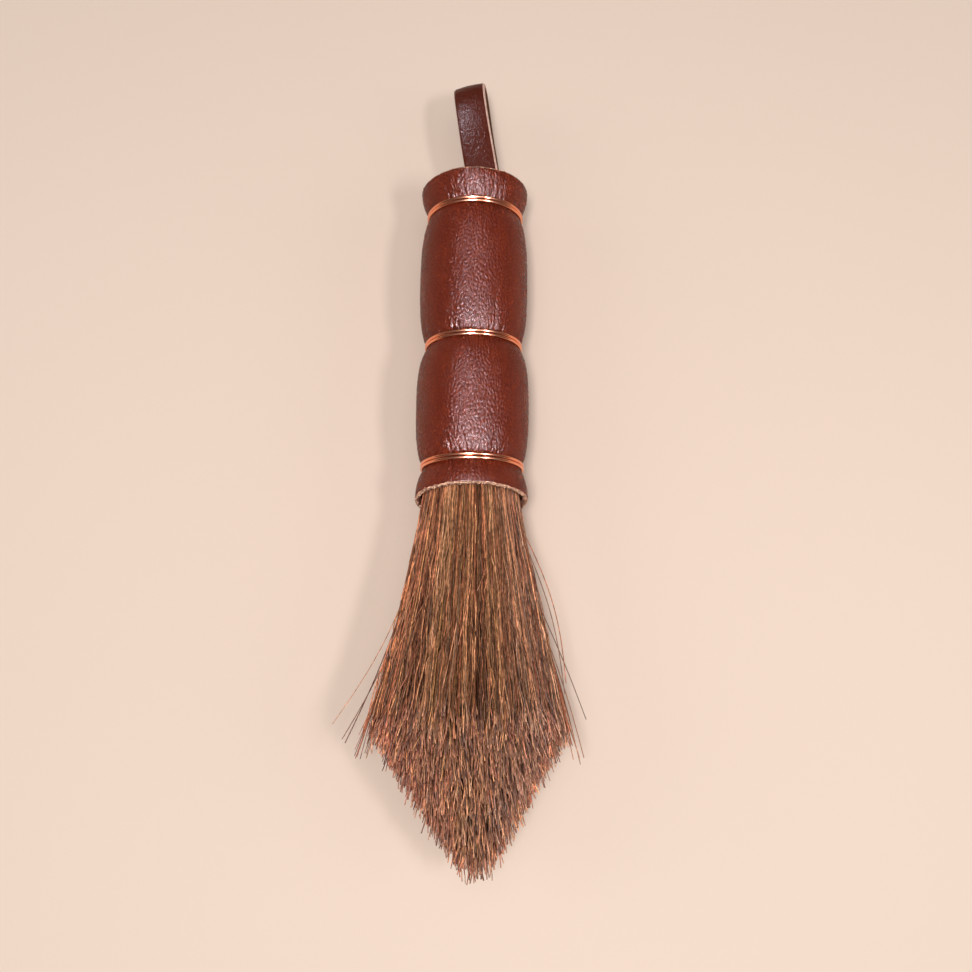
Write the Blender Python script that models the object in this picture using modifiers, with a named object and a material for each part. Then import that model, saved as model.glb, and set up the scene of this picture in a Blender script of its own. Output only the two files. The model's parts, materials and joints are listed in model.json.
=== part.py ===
"""A hand brush: seven hanks of stiff fibre in a leather wrap, bound with copper wire, with a hanging loop.

Metres, +Z up. The brush lies on the plane Z = 0 with its bristles towards -Y and its loop towards +Y.
Its own axis is the local Z of the empty "brush_axis": 0 at the mouth of the wrap, positive towards
the loop and negative towards the bristle tip. Local X is world X, and local Y points down.
"""

from math import asin, atan2, cos, pi, radians, sin, sqrt, tau

import bmesh
import bpy
from mathutils import Matrix, Vector

MM = 0.001
GAP = 0.3 * MM

# The leather wrap: heights along the axis and outer radii
LEATHER = 1.2 * MM
WRAP_LENGTH = 84.8 * MM
RIM_RADIUS = 14.3 * MM
FLANGE_RADIUS = 14.15 * MM
LOWER_BULGE_RADIUS = 14.5 * MM
UPPER_BULGE_RADIUS = 14.2 * MM
BULGE_FULLNESS = 2.8
BULGE_SHOULDER = 0.62
FLARE_POWER = 0.9
WRAP_SIDES = 32
BULGE_STEPS = 8
FLARE_STEPS = 4

# The copper bindings: name, height along the axis and outer radius of the wire
WIRE = 0.85 * MM
WIRE_PITCH = 1.1 * WIRE
GROOVE = 1.3 * MM
BINDINGS = (
    ("copper_binding_mouth", 7.5 * MM, 13.3 * MM),
    ("copper_binding_middle", 40.0 * MM, 12.8 * MM),
    ("copper_binding_top", 77.0 * MM, 12.9 * MM),
)
BINDING_TURNS = 2

# The wire ties inside, round the hanks
TIE_WIRE = 0.9 * MM
TIE_PITCH = 1.1 * TIE_WIRE
TIE_SEAT_RADIUS = 11.6 * MM
TIE_GROOVE = 2.2 * MM
TIES = (("inner_tie_lower", 23.0 * MM), ("inner_tie_upper", 57.0 * MM))
TIE_TURNS = 3

# The fibre hanks
SECTOR_HANKS = 6
CENTRE_HANK_RADIUS = 4.2 * MM
CORE_TOP = 81.1 * MM
CORE_MOUTH_RADIUS = 10.5 * MM
SOCKET_STEPS = 5

# The bristle head, measured outwards from the mouth of the wrap
FLEX_AXIS = 3.0 * MM
ROOT_BALL = 12.2 * MM
NECK = 9.0 * MM
MOUTH_SPREAD = 13.0 * MM
SHOULDER = 56.4 * MM
HALF_WIDTH = 23.8 * MM
HALF_DEPTH = 19.0 * MM
SPREAD_POWER = 1.15
HEAD_LENGTH = 92.9 * MM
TRIM_POWER = 0.82
HEAD_SIDES = 36
BALL_STEPS = 5
SPREAD_STEPS = 5
TRIM_STEPS = 7
FLATTENED = 1.1 * MM

# The end disc and the strap
DISC_RADIUS = 11.8 * MM
DISC_THICK = 1.5 * MM
STRAP_WIDTH = 8.6 * MM
STRAP_THICK = 1.3 * MM
STRAP_OFFSET = 3.0 * MM
TAIL_LENGTH = 16.0 * MM
LOOP_PIVOT = 85.0 * MM
LOOP_LENGTH = 33.2 * MM
LOOP_HALF_GAP = 3.7 * MM
LOOP_LEAN = radians(-8.3)
LOOP_ROLL = radians(-12.0)
LOOP_STEPS = 22
LOOP_START = 0.06
TEARDROP_SCALE = 3 * sqrt(3) / 4

# The brush lies on its top flange and on the flattened underside of its widest fibres
TILT = asin((HALF_DEPTH - FLATTENED - FLANGE_RADIUS) / (SHOULDER + WRAP_LENGTH))
MOUTH_HEIGHT = FLANGE_RADIUS * cos(TILT) + WRAP_LENGTH * sin(TILT)
LEAN_DROP = STRAP_WIDTH / 2 * sin(abs(LOOP_LEAN))
LOOP_END = LOOP_PIVOT + LOOP_LENGTH * cos(LOOP_LEAN) + LEAN_DROP
TAIL_TOP = LOOP_PIVOT - STRAP_THICK - LEAN_DROP - GAP
MIDDLE = (LOOP_END - HEAD_LENGTH) / 2

LEATHER_BROWN = (0.135, 0.040, 0.028)
STRAP_BROWN = (0.105, 0.035, 0.026)
RAW_LEATHER = (0.400, 0.200, 0.110)
COPPER = (0.720, 0.320, 0.160)
STEEL = (0.480, 0.470, 0.450)
FIBRE = (0.230, 0.092, 0.042)


def clear_scene():
    for obj in list(bpy.data.objects):
        bpy.data.objects.remove(obj, do_unlink=True)


def collection(name):
    group = bpy.data.collections.new(name)
    bpy.context.scene.collection.children.link(group)
    return group


def material(name, colour, roughness, metallic=0.0):
    made = bpy.data.materials.new(name)
    made.use_nodes = True
    shader = made.node_tree.nodes["Principled BSDF"]
    shader.inputs["Base Color"].default_value = (*colour, 1.0)
    shader.inputs["Roughness"].default_value = roughness
    shader.inputs["Metallic"].default_value = metallic
    return made


def place(name, data, group, parent=None, at=(0, 0, 0), turn=None, finish=None):
    """Adds an object for this mesh or curve, in its parent's frame."""
    obj = bpy.data.objects.new(name, data)
    group.objects.link(obj)
    obj.parent = parent
    obj.location = at
    if turn is not None:
        obj.rotation_euler = turn.to_euler()
    if finish is not None:
        obj.data.materials.clear()
        obj.data.materials.append(finish)
    return obj


def cutter(name, mesh, parent=None, at=(0, 0, 0), turn=None):
    obj = place(name, mesh, cutters, parent, at, turn)
    obj.hide_render = True
    obj.display_type = "WIRE"
    return obj


def cut(obj, tool, operation="DIFFERENCE"):
    boolean = obj.modifiers.new(tool.name, "BOOLEAN")
    boolean.operation = operation
    boolean.solver = "EXACT"
    boolean.object = tool


def box_mesh(name, size):
    mesh = bpy.data.meshes.new(name)
    shape = bmesh.new()
    bmesh.ops.create_cube(shape, size=1.0)
    bmesh.ops.scale(shape, vec=size, verts=shape.verts)
    shape.to_mesh(mesh)
    shape.free()
    return mesh


def prism_mesh(name, sides, radius, length):
    """A solid prism along Z, centred on the origin. Its first corner is at +Y."""
    mesh = bpy.data.meshes.new(name)
    shape = bmesh.new()
    bmesh.ops.create_cone(
        shape, cap_ends=True, segments=sides, radius1=radius, radius2=radius, depth=length
    )
    shape.to_mesh(mesh)
    shape.free()
    return mesh


def outline_mesh(name, outline):
    """An open line of edges in the XZ plane through (radius, height) points."""
    mesh = bpy.data.meshes.new(name)
    corners = [(radius, 0, height) for radius, height in outline]
    mesh.from_pydata(corners, [(n, n + 1) for n in range(len(corners) - 1)], [])
    return mesh


def turned(obj, sides):
    """Turns the object's outline about its Z axis."""
    screw = obj.modifiers.new("turn", "SCREW")
    screw.axis = "Z"
    screw.steps = sides
    screw.render_steps = sides
    screw.use_merge_vertices = True
    screw.merge_threshold = 0.01 * MM


def waist_radius(wire_outside):
    return wire_outside - WIRE - GAP


def bulge(height, below, above, radius):
    """The wrap's radius between two bindings, a pillow that rises steeply at both ends."""
    low, high = below[1] + GROOVE, above[1] - GROOVE
    share = (height - low) / (high - low)
    waist = waist_radius(below[2]) * (1 - share) + waist_radius(above[2]) * share
    off_middle = min(1.0, abs(2 * share - 1))
    return waist + (radius - waist) * (1 - off_middle**BULGE_FULLNESS) ** BULGE_SHOULDER


def flare(share, waist, end):
    """The wrap's radius on its way out to a free end, where share is 1."""
    return waist + (end - waist) * sin(pi / 2 * share) ** FLARE_POWER


def wrap_radius(height):
    """The outer radius of the leather wrap at this height."""
    mouth, middle, top = BINDINGS
    for _, seat, wire_outside in BINDINGS:
        if abs(height - seat) <= GROOVE:
            return waist_radius(wire_outside)
    if height < mouth[1]:
        share = min(1.0, 1 - height / (mouth[1] - GROOVE))
        return flare(share, waist_radius(mouth[2]), RIM_RADIUS)
    if height < middle[1]:
        return bulge(height, mouth, middle, LOWER_BULGE_RADIUS)
    if height < top[1]:
        return bulge(height, middle, top, UPPER_BULGE_RADIUS)
    share = min(1.0, (height - top[1] - GROOVE) / (WRAP_LENGTH - top[1] - GROOVE))
    return flare(share, waist_radius(top[2]), FLANGE_RADIUS)


def heights_between(low, high, count):
    """Heights from low to high, closer together near both ends."""
    return [low + (high - low) * (1 - cos(pi * n / count)) / 2 for n in range(count + 1)]


def wrap_heights():
    """The heights, top to bottom, that the wrap's outline goes through."""
    mouth, middle, top = (seat for _, seat, _ in BINDINGS)
    flares = [n / FLARE_STEPS for n in range(FLARE_STEPS + 1)]
    heights = [(mouth - GROOVE) * share for share in flares]
    heights += heights_between(mouth + GROOVE, middle - GROOVE, BULGE_STEPS)
    heights += heights_between(middle + GROOVE, top - GROOVE, BULGE_STEPS)
    heights += [top + GROOVE + (WRAP_LENGTH - top - GROOVE) * share for share in flares]
    return heights[::-1]


def core_radius(height):
    """The radius of the bundled hanks: the wrap's outside, pushed in by the leather and a gap."""
    depth = LEATHER + 1.5 * GAP
    angles = [radians(degrees) for degrees in range(-80, 81, 10)]
    return min(wrap_radius(height + depth * sin(a)) - depth * cos(a) for a in angles)


def core_outline():
    """The bundle's outline: flat on top, grooved for each tie, with a hollow end round the root ball."""
    mouth, middle, top = (seat for _, seat, _ in BINDINGS)
    heights = [CORE_TOP, top + GROOVE]
    seats = []
    for low, tie, high in ((middle, TIES[1][1], top), (mouth, TIES[0][1], middle)):
        seats += [tie + TIE_GROOVE, tie - TIE_GROOVE]
        heights += [high - GROOVE, high - 3 * GROOVE, (tie + high) / 2, tie + TIE_GROOVE + GAP]
        heights += seats[-2:]
        heights += [tie - TIE_GROOVE - GAP, (tie + low) / 2, low + 3 * GROOVE, low + GROOVE]
    outline = [(0, CORE_TOP)]
    for height in heights:
        outline.append((TIE_SEAT_RADIUS if height in seats else core_radius(height), height))
    socket = ROOT_BALL + GAP
    lip = sqrt(socket**2 - CORE_MOUTH_RADIUS**2)
    outline.append((CORE_MOUTH_RADIUS, lip - FLEX_AXIS))
    start = atan2(lip, CORE_MOUTH_RADIUS)
    for n in range(1, SOCKET_STEPS):
        angle = start + (pi / 2 - start) * n / SOCKET_STEPS
        outline.append((socket * cos(angle), socket * sin(angle) - FLEX_AXIS))
    outline.append((0, socket - FLEX_AXIS))
    return outline


def spread(out, widest):
    """Half the head's width or depth at a distance out from the mouth, up to its shoulder."""
    return MOUTH_SPREAD + (widest - MOUTH_SPREAD) * (out / SHOULDER) ** SPREAD_POWER


def head_sections():
    """(height, half width, half depth) of the head from its root ball to its tip."""
    sections = [(ROOT_BALL - FLEX_AXIS, 0, 0)]
    for n in range(1, BALL_STEPS + 1):
        angle = pi / 2 * (1 - n / BALL_STEPS)
        radius = ROOT_BALL * cos(angle)
        sections.append((ROOT_BALL * sin(angle) - FLEX_AXIS, radius, radius))
    for n in range(SPREAD_STEPS + 1):
        out = NECK + (SHOULDER - NECK) * n / SPREAD_STEPS
        sections.append((-out, spread(out, HALF_WIDTH), spread(out, HALF_DEPTH)))
    for n in range(1, TRIM_STEPS + 1):
        share = sin(pi / 2 * n / TRIM_STEPS)
        taper = (1 - share) ** TRIM_POWER
        out = SHOULDER + (HEAD_LENGTH - SHOULDER) * share
        sections.append((-out, HALF_WIDTH * taper, HALF_DEPTH * taper))
    return sections


def loft_mesh(name, sections, sides):
    """A closed skin over elliptical sections, whose first and last have no width."""
    mesh = bpy.data.meshes.new(name)
    shape = bmesh.new()
    rings = []
    for height, half_width, half_depth in sections:
        count = sides if half_width > 0 else 1
        angles = [tau * n / sides for n in range(count)]
        ring = [shape.verts.new((half_width * cos(a), half_depth * sin(a), height)) for a in angles]
        rings.append(ring)
    for upper, lower in zip(rings, rings[1:]):
        for n in range(sides):
            a, b = n % len(upper), (n + 1) % len(upper)
            c, d = (n + 1) % len(lower), n % len(lower)
            corners = dict.fromkeys((upper[a], upper[b], lower[c], lower[d]))
            shape.faces.new(list(corners))
    bmesh.ops.recalc_face_normals(shape, faces=shape.faces)
    shape.to_mesh(mesh)
    shape.free()
    return mesh


def wire_coil(name, height, radius, wire, pitch, turns, points_per_turn, finish):
    """A wire coil about the axis, starting and ending at the underside."""
    curve = bpy.data.curves.new(name, "CURVE")
    curve.dimensions = "3D"
    curve.bevel_depth = wire / 2
    curve.bevel_resolution = 2
    curve.use_fill_caps = True
    count = turns * points_per_turn
    spline = curve.splines.new("POLY")
    spline.points.add(count)
    for n, point in enumerate(spline.points):
        angle = pi / 2 + tau * n / points_per_turn
        rise = pitch * (n / points_per_turn - turns / 2)
        point.co = (radius * cos(angle), radius * sin(angle), rise, 1)
    return place(name, curve, parts, brush_axis, (0, 0, height), finish=finish)


def leather_wrap():
    outline = [(wrap_radius(height), height) for height in wrap_heights()]
    wrap = place("leather_wrap", outline_mesh("leather_wrap", outline), parts, brush_axis, finish=leather)
    turned(wrap, WRAP_SIDES)
    shell = wrap.modifiers.new("thickness", "SOLIDIFY")
    shell.thickness = LEATHER
    shell.offset = -1
    shell.use_even_offset = True


def end_disc():
    mesh = prism_mesh("end_disc", WRAP_SIDES, DISC_RADIUS, DISC_THICK)
    middle = CORE_TOP + GAP + DISC_THICK / 2
    disc = place("end_disc", mesh, parts, brush_axis, (0, 0, middle), finish=disc_leather)
    edge = disc.modifiers.new("edge", "BEVEL")
    edge.width = GAP
    edge.segments = 1
    edge.limit_method = "ANGLE"
    cut(disc, strap_slot)


def sector_angle(number):
    """The direction of a sector hank. The first one lies underneath."""
    return pi / 2 + tau * number / SECTOR_HANKS


def hanks(kind, mesh, sides=0):
    """Splits one solid into a centre hank and the sector hanks round it."""
    made = [place(f"hank_{kind}_centre", mesh, parts, brush_axis, finish=fibre)]
    made += [place(f"hank_{kind}_{n + 1}", mesh, parts, brush_axis) for n in range(SECTOR_HANKS)]
    for hank in made:
        if sides:
            turned(hank, sides)
    cut(made[0], centre_rod, "INTERSECT")
    for hank, wedge in zip(made[1:], wedges):
        cut(hank, wedge, "INTERSECT")
        cut(hank, centre_hole)
    return made


def hank_butts():
    for butt in hanks("butt", outline_mesh("hank_butt", core_outline()), WRAP_SIDES):
        cut(butt, strap_slot)


def hank_heads():
    """The heads' origin is on the flex axis, so their sections are measured from there."""
    sections = [(height + FLEX_AXIS, width, depth) for height, width, depth in head_sections()]
    heads = hanks("head", loft_mesh("hank_head", sections, HEAD_SIDES))
    for head in heads:
        head.location.z = -FLEX_AXIS
    cut(heads[1], ground)


def loop_edge(share):
    """A point on the loop's inner teardrop. Share runs from 0 at the pivot, over the fold, to 1."""
    turn = tau * share
    return Vector(
        (
            (LOOP_LENGTH - STRAP_THICK) * (1 - cos(turn)) / 2,
            LOOP_HALF_GAP * TEARDROP_SCALE * sin(turn) * sin(turn / 2),
        )
    )


def loop_outlines():
    """The loop's outer and inner outlines, seen from the side, with the pivot at (0, 0)."""
    shares = [LOOP_START + (1 - 2 * LOOP_START) * n / LOOP_STEPS for n in range(LOOP_STEPS + 1)]
    inner = [loop_edge(share) for share in shares]
    outer = []
    for share in shares:
        along = loop_edge(share + 0.001) - loop_edge(share - 0.001)
        outer.append(loop_edge(share) + STRAP_THICK * Vector((-along.y, along.x)).normalized())
    for degrees in range(250, 109, -20):
        outer.append(STRAP_THICK * Vector((cos(radians(degrees)), sin(radians(degrees)))))
    return outer, inner


def strap_loop():
    curve = bpy.data.curves.new("strap_loop", "CURVE")
    curve.dimensions = "2D"
    curve.fill_mode = "BOTH"
    curve.extrude = STRAP_WIDTH / 2
    for outline in loop_outlines():
        spline = curve.splines.new("POLY")
        spline.points.add(len(outline) - 1)
        spline.use_cyclic_u = True
        for point, (out, up) in zip(spline.points, outline):
            point.co = (out, up, 0, 1)
    side_on = Matrix(((0, 0, 1), (0, -1, 0), (1, 0, 0)))
    turn = Matrix.Rotation(LOOP_LEAN, 3, "Y") @ Matrix.Rotation(LOOP_ROLL, 3, "Z") @ side_on
    place("strap_loop", curve, parts, brush_axis, (STRAP_OFFSET, 0, LOOP_PIVOT), turn, strap_leather)


def strap_tails():
    mesh = box_mesh("strap_tails", (STRAP_WIDTH, 2 * STRAP_THICK, TAIL_LENGTH))
    middle = (STRAP_OFFSET, 0, TAIL_TOP - TAIL_LENGTH / 2)
    place("strap_tails", mesh, parts, brush_axis, middle, finish=strap_leather)


def slot_cutter():
    """A slot GAP clear of the tails on every side, open at the top."""
    bottom = TAIL_TOP - TAIL_LENGTH - GAP
    top = WRAP_LENGTH + 5 * MM
    size = (STRAP_WIDTH + 2 * GAP, 2 * STRAP_THICK + 2 * GAP, top - bottom)
    return cutter("strap_slot", box_mesh("strap_slot", size), brush_axis, (STRAP_OFFSET, 0, (top + bottom) / 2))


def wedge_cutters():
    """One prism for each sector hank. The tip of its 60 degree corner stands GAP off the axis."""
    reach = 26 * MM
    length = 2.2 * HEAD_LENGTH
    made = []
    for number in range(SECTOR_HANKS):
        angle = sector_angle(number)
        mesh = prism_mesh(f"wedge_{number + 1}", 3, reach, length)
        out = (reach + GAP) * Vector((cos(angle), sin(angle), 0))
        turn = Matrix.Rotation(angle + pi / 2, 3, "Z")
        made.append(cutter(f"wedge_{number + 1}", mesh, brush_axis, out, turn))
    return made


clear_scene()
parts = collection("hand_brush")
cutters = collection("cutters")

leather = material("wrap_leather", LEATHER_BROWN, 0.45)
disc_leather = material("disc_leather", RAW_LEATHER, 0.8)
strap_leather = material("strap_leather", STRAP_BROWN, 0.45)
copper = material("copper_wire", COPPER, 0.22, 1.0)
steel = material("tie_wire", STEEL, 0.4, 1.0)
fibre = material("fibre", FIBRE, 0.6)

brush_axis = bpy.data.objects.new("brush_axis", None)
parts.objects.link(brush_axis)
brush_axis.location = (0, -MIDDLE * cos(TILT), MOUTH_HEIGHT)
brush_axis.rotation_euler = (-pi / 2 - TILT, 0, 0)

strap_slot = slot_cutter()
wedges = wedge_cutters()
centre_rod = cutter("centre_rod", prism_mesh("centre_rod", 16, CENTRE_HANK_RADIUS, 0.25), brush_axis)
centre_hole = cutter("centre_hole", prism_mesh("centre_hole", 16, CENTRE_HANK_RADIUS + GAP, 0.25), brush_axis)
ground = cutter("ground", box_mesh("ground", (0.4, 0.4, 0.02)), None, (0, 0, -0.01))

leather_wrap()
for binding, seat, wire_outside in BINDINGS:
    wire_coil(binding, seat, wire_outside - WIRE / 2, WIRE, WIRE_PITCH, BINDING_TURNS, 20, copper)
for tie, seat in TIES:
    wire_coil(tie, seat, TIE_SEAT_RADIUS + GAP + TIE_WIRE / 2, TIE_WIRE, TIE_PITCH, TIE_TURNS, 16, steel)
end_disc()
strap_tails()
strap_loop()
hank_butts()
hank_heads()
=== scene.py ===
"""The looks of the hand brush: every fibre, the gathered leather, the copper wire and the strap.

Metres, +Z up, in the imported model's frame. Pieces are built in the brush's own frame: x across,
up away from the table, and s along the axis, 0 at the mouth of the wrap and positive to the loop.
"""

import json
from math import cos, pi, radians, sin, tau

import bpy
import numpy as np
from mathutils import Matrix, Vector

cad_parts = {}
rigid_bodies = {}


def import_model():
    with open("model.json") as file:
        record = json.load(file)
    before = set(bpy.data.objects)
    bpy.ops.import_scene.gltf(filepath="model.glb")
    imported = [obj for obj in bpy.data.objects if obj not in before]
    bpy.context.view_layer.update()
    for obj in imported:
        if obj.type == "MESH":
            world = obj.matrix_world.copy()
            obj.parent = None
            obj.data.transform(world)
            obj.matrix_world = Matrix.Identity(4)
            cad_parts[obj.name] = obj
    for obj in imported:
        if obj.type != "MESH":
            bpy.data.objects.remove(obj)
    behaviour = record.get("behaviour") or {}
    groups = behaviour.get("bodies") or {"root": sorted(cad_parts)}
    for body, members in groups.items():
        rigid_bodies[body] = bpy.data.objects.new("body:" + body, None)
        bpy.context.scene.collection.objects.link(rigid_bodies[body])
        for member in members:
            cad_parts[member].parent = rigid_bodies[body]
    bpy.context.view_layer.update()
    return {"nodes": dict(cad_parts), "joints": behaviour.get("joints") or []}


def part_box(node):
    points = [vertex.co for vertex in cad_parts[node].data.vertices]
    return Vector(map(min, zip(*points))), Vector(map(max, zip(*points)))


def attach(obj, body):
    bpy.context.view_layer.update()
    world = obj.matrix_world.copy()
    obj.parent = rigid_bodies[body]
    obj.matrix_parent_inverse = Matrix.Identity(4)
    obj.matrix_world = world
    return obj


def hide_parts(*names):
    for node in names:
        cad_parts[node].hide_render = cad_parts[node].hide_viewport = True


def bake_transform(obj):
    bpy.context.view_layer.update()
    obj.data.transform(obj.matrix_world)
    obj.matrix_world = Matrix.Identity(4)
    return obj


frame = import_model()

MM = 0.001

# The leather wrap, as the CAD model has it
LEATHER = 1.2
WRAP_LENGTH = 84.8
RIM_RADIUS = 14.3
FLANGE_RADIUS = 14.15
LOWER_BULGE_RADIUS = 14.5
UPPER_BULGE_RADIUS = 14.2
BULGE_FULLNESS = 2.8
BULGE_SHOULDER = 0.62
FLARE_POWER = 0.9
WIRE = 0.85
WIRE_PITCH = 0.92
GROOVE = 0.9
WIRE_BITE = 0.12

# The bristle head, measured outwards from the mouth of the wrap
FLEX_AXIS = 3.0
MOUTH_SPREAD = 12.25
SHOULDER = 56.4
HALF_WIDTH = 23.8
HALF_DEPTH = 19.0
SPREAD_POWER = 1.15
HEAD_LENGTH = 93.4
TRIM_POWER = 0.82
TIP_SHIFT = 1.7

# The strap
STRAP_WIDTH = 8.6
STRAP_THICK = 1.3
TAIL_LENGTH = 16.0
LOOP_LENGTH = 33.2
LOOP_HALF_GAP = 3.7
TEARDROP_SCALE = 3 * 3**0.5 / 4
LOOP_LEAN = radians(-8.3)
LOOP_ROLL = radians(12.0)

joints = {joint["name"]: joint for joint in frame["joints"]}


def centre(node):
    low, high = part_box(node)
    return (low + high) / 2


along = centre("copper_binding_top") - centre("copper_binding_mouth")
along.x = 0
along.normalize()
across = Vector((1, 0, 0))
upward = across.cross(along)
mouth = Vector(joints["head_flex"]["pos_m"]) + FLEX_AXIS * MM * along
FRAME = np.array([across, upward, along])


def world(x, up, s):
    """Row-frame points, in metres, of brush coordinates in millimetres."""
    x, up, s = np.broadcast_arrays(x, up, s)
    return np.array(mouth) + MM * np.stack([x, up, s], -1) @ FRAME


def smooth(t):
    t = np.clip(t, 0, 1)
    return t * t * (3 - 2 * t)


# ---------------------------------------------------------------- meshes


def mesh_of(name, points, faces, smooth_faces=None, slots=None):
    """A mesh from points and a list of face arrays, each of one corner count."""
    mesh = bpy.data.meshes.new(name)
    counts = np.concatenate([np.full(len(f), f.shape[1]) for f in faces])
    corners = np.concatenate([f.ravel() for f in faces])
    mesh.vertices.add(len(points))
    mesh.vertices.foreach_set("co", np.asarray(points, np.float32).ravel())
    mesh.loops.add(len(corners))
    mesh.loops.foreach_set("vertex_index", corners.astype(np.int32))
    mesh.polygons.add(len(counts))
    starts = np.concatenate([[0], np.cumsum(counts)[:-1]])
    mesh.polygons.foreach_set("loop_start", starts.astype(np.int32))
    if smooth_faces is None:
        smooth_faces = np.ones(len(counts), bool)
    mesh.polygons.foreach_set("use_smooth", smooth_faces)
    if slots is not None:
        mesh.polygons.foreach_set("material_index", slots.astype(np.int32))
    mesh.update(calc_edges=True)
    mesh.validate()
    return mesh


def piece(name, mesh, *materials):
    obj = bpy.data.objects.new(name, mesh)
    bpy.context.scene.collection.objects.link(obj)
    for made in materials:
        mesh.materials.append(made)
    return obj


def grid_faces(rows, columns, wrap_rows=False, wrap_columns=False):
    """Quads over a grid of points, row by row."""
    r = np.arange(rows if wrap_rows else rows - 1)[:, None]
    c = np.arange(columns if wrap_columns else columns - 1)[None, :]
    next_r, next_c = (r + 1) % rows, (c + 1) % columns
    corners = [r * columns + c, r * columns + next_c, next_r * columns + next_c, next_r * columns + c]
    return np.stack(corners, -1).reshape(-1, 4)


def tube_points(path, radius, sides):
    """Rings of points round a path, with no twist."""
    path = np.asarray(path, float)
    tangent = np.gradient(path, axis=0)
    tangent /= np.linalg.norm(tangent, axis=1, keepdims=True)
    normal = np.cross(tangent[0], [0.3, 0.5, 0.8])
    normals = []
    for t in tangent:
        normal = normal - t * (normal @ t)
        normal = normal / np.linalg.norm(normal)
        normals.append(normal)
    normals = np.array(normals)
    binormals = np.cross(tangent, normals)
    angles = (tau * np.arange(sides) / sides)[None, :, None]
    ring = np.cos(angles) * normals[:, None] + np.sin(angles) * binormals[:, None]
    return path[:, None] + radius * ring


def tube_mesh(name, path, radius, sides):
    points = tube_points(path, radius, sides)
    rows = len(points)
    walls = grid_faces(rows, sides, wrap_columns=True)
    first = np.arange(sides)[None, :]
    last = (rows - 1) * sides + np.arange(sides)[::-1][None, :]
    return mesh_of(name, points.reshape(-1, 3), [walls, first, last])


# ---------------------------------------------------------------- materials


class Nodes:
    """A short way to write a node material."""

    def __init__(self, name):
        self.material = bpy.data.materials.new(name)
        self.material.use_nodes = True
        self.tree = self.material.node_tree
        self.shader = self.tree.nodes["Principled BSDF"]

    def add(self, kind, inputs=None, **settings):
        node = self.tree.nodes.new("ShaderNode" + kind)
        for key, value in settings.items():
            setattr(node, key, value)
        for key, value in (inputs or {}).items():
            self.put(node.inputs[key], value)
        return node

    def put(self, socket, value):
        if isinstance(value, bpy.types.NodeSocket):
            self.tree.links.new(value, socket)
        else:
            socket.default_value = value

    def set(self, **inputs):
        for key, value in inputs.items():
            self.put(self.shader.inputs[key.replace("_", " ")], value)

    def place(self, scale):
        """The object's own coordinates, stretched by scale."""
        coordinates = self.add("TexCoord").outputs["Object"]
        return self.add("Mapping", {"Vector": coordinates, "Scale": scale}).outputs["Vector"]

    def noise(self, vector, scale, detail=4.0, roughness=0.6):
        inputs = {"Vector": vector, "Scale": scale, "Detail": detail, "Roughness": roughness}
        return self.add("TexNoise", inputs).outputs["Fac"]

    def cells(self, vector, scale):
        """The distance to the nearest edge between cells."""
        inputs = {"Vector": vector, "Scale": scale}
        return self.add("TexVoronoi", inputs, feature="DISTANCE_TO_EDGE").outputs["Distance"]

    def greys(self, value, *stops):
        """A grey that goes from one stop's level to the next as the value passes their positions."""
        node = self.add("ValToRGB", {"Fac": value})
        elements = node.color_ramp.elements
        while len(elements) < len(stops):
            elements.new(0.5)
        for element, (position, level) in zip(elements, stops):
            element.position = position
            element.color = (level, level, level, 1)
        return node.outputs["Color"]

    def mix(self, share, a, b, blend="MIX"):
        node = self.add("Mix", data_type="RGBA", blend_type=blend)
        for key, value in ((0, share), (6, a), (7, b)):
            if isinstance(value, tuple):
                value = (*value, 1)
            self.put(node.inputs[key], value)
        return node.outputs[2]

    def math(self, operation, a, b=0.0):
        node = self.add("Math", operation=operation)
        self.put(node.inputs[0], a)
        self.put(node.inputs[1], b)
        return node.outputs[0]

    def bump(self, height, strength, distance):
        inputs = {"Height": height, "Strength": strength, "Distance": distance}
        return self.add("Bump", inputs).outputs["Normal"]


PORES_PER_METRE = 2300.0
PORE_DEPTH = 0.025 * MM
PORE_PAINTED_SHADE = 0.72


def grain_leather(name, dark, light):
    """Pigmented leather: fine pores and wrinkles over its pebbles, painted shade in the pores, and a soft
    gloss.
    """
    n = Nodes(name)
    place = n.place((1, 0.7, 1))
    warp = n.add("VectorMath", operation="ADD")
    n.put(warp.inputs[0], place)
    shift = n.add("VectorMath", operation="SCALE")
    wander = n.add("TexNoise", {"Vector": place, "Scale": 620.0, "Detail": 2.0})
    n.put(shift.inputs[0], wander.outputs["Color"])
    n.put(shift.inputs["Scale"], 0.8 * MM)
    n.put(warp.inputs[1], shift.outputs[0])
    pore_relief_and_shade = n.greys(n.cells(warp.outputs[0], PORES_PER_METRE), (0.0, 0), (0.16, 0.7), (0.42, 1))
    small = n.noise(place, 5200.0, 3.0)
    broad = n.noise(n.place((1, 0.5, 1)), 130.0, 4.0)
    tone = n.mix(n.greys(broad, (0.3, 0), (0.7, 1)), dark, light)
    # The pores are painted darker than the leather round them: painted shade.
    n.set(Base_Color=n.mix(pore_relief_and_shade, tuple(PORE_PAINTED_SHADE * c for c in dark), tone))
    n.set(Roughness=n.greys(small, (0.3, 0.19), (0.7, 0.28)))
    n.set(Normal=n.bump(n.math("ADD", pore_relief_and_shade, n.math("MULTIPLY", small, 0.3)), 0.9, PORE_DEPTH))
    n.set(Specular_IOR_Level=0.16)
    return n.material


def raw_leather(name, dark, light):
    """The cut edge or flesh side of leather: matt, with short fibres."""
    n = Nodes(name)
    place = n.place((1, 1, 1))
    coarse = n.noise(place, 900.0, 5.0, 0.7)
    fine = n.noise(place, 5200.0, 4.0, 0.7)
    n.set(Base_Color=n.mix(n.greys(coarse, (0.32, 0), (0.66, 1)), dark, light))
    n.set(Roughness=0.9, Specular_IOR_Level=0.15)
    n.set(Normal=n.bump(n.math("ADD", coarse, fine), 0.7, 0.0002))
    return n.material


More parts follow.
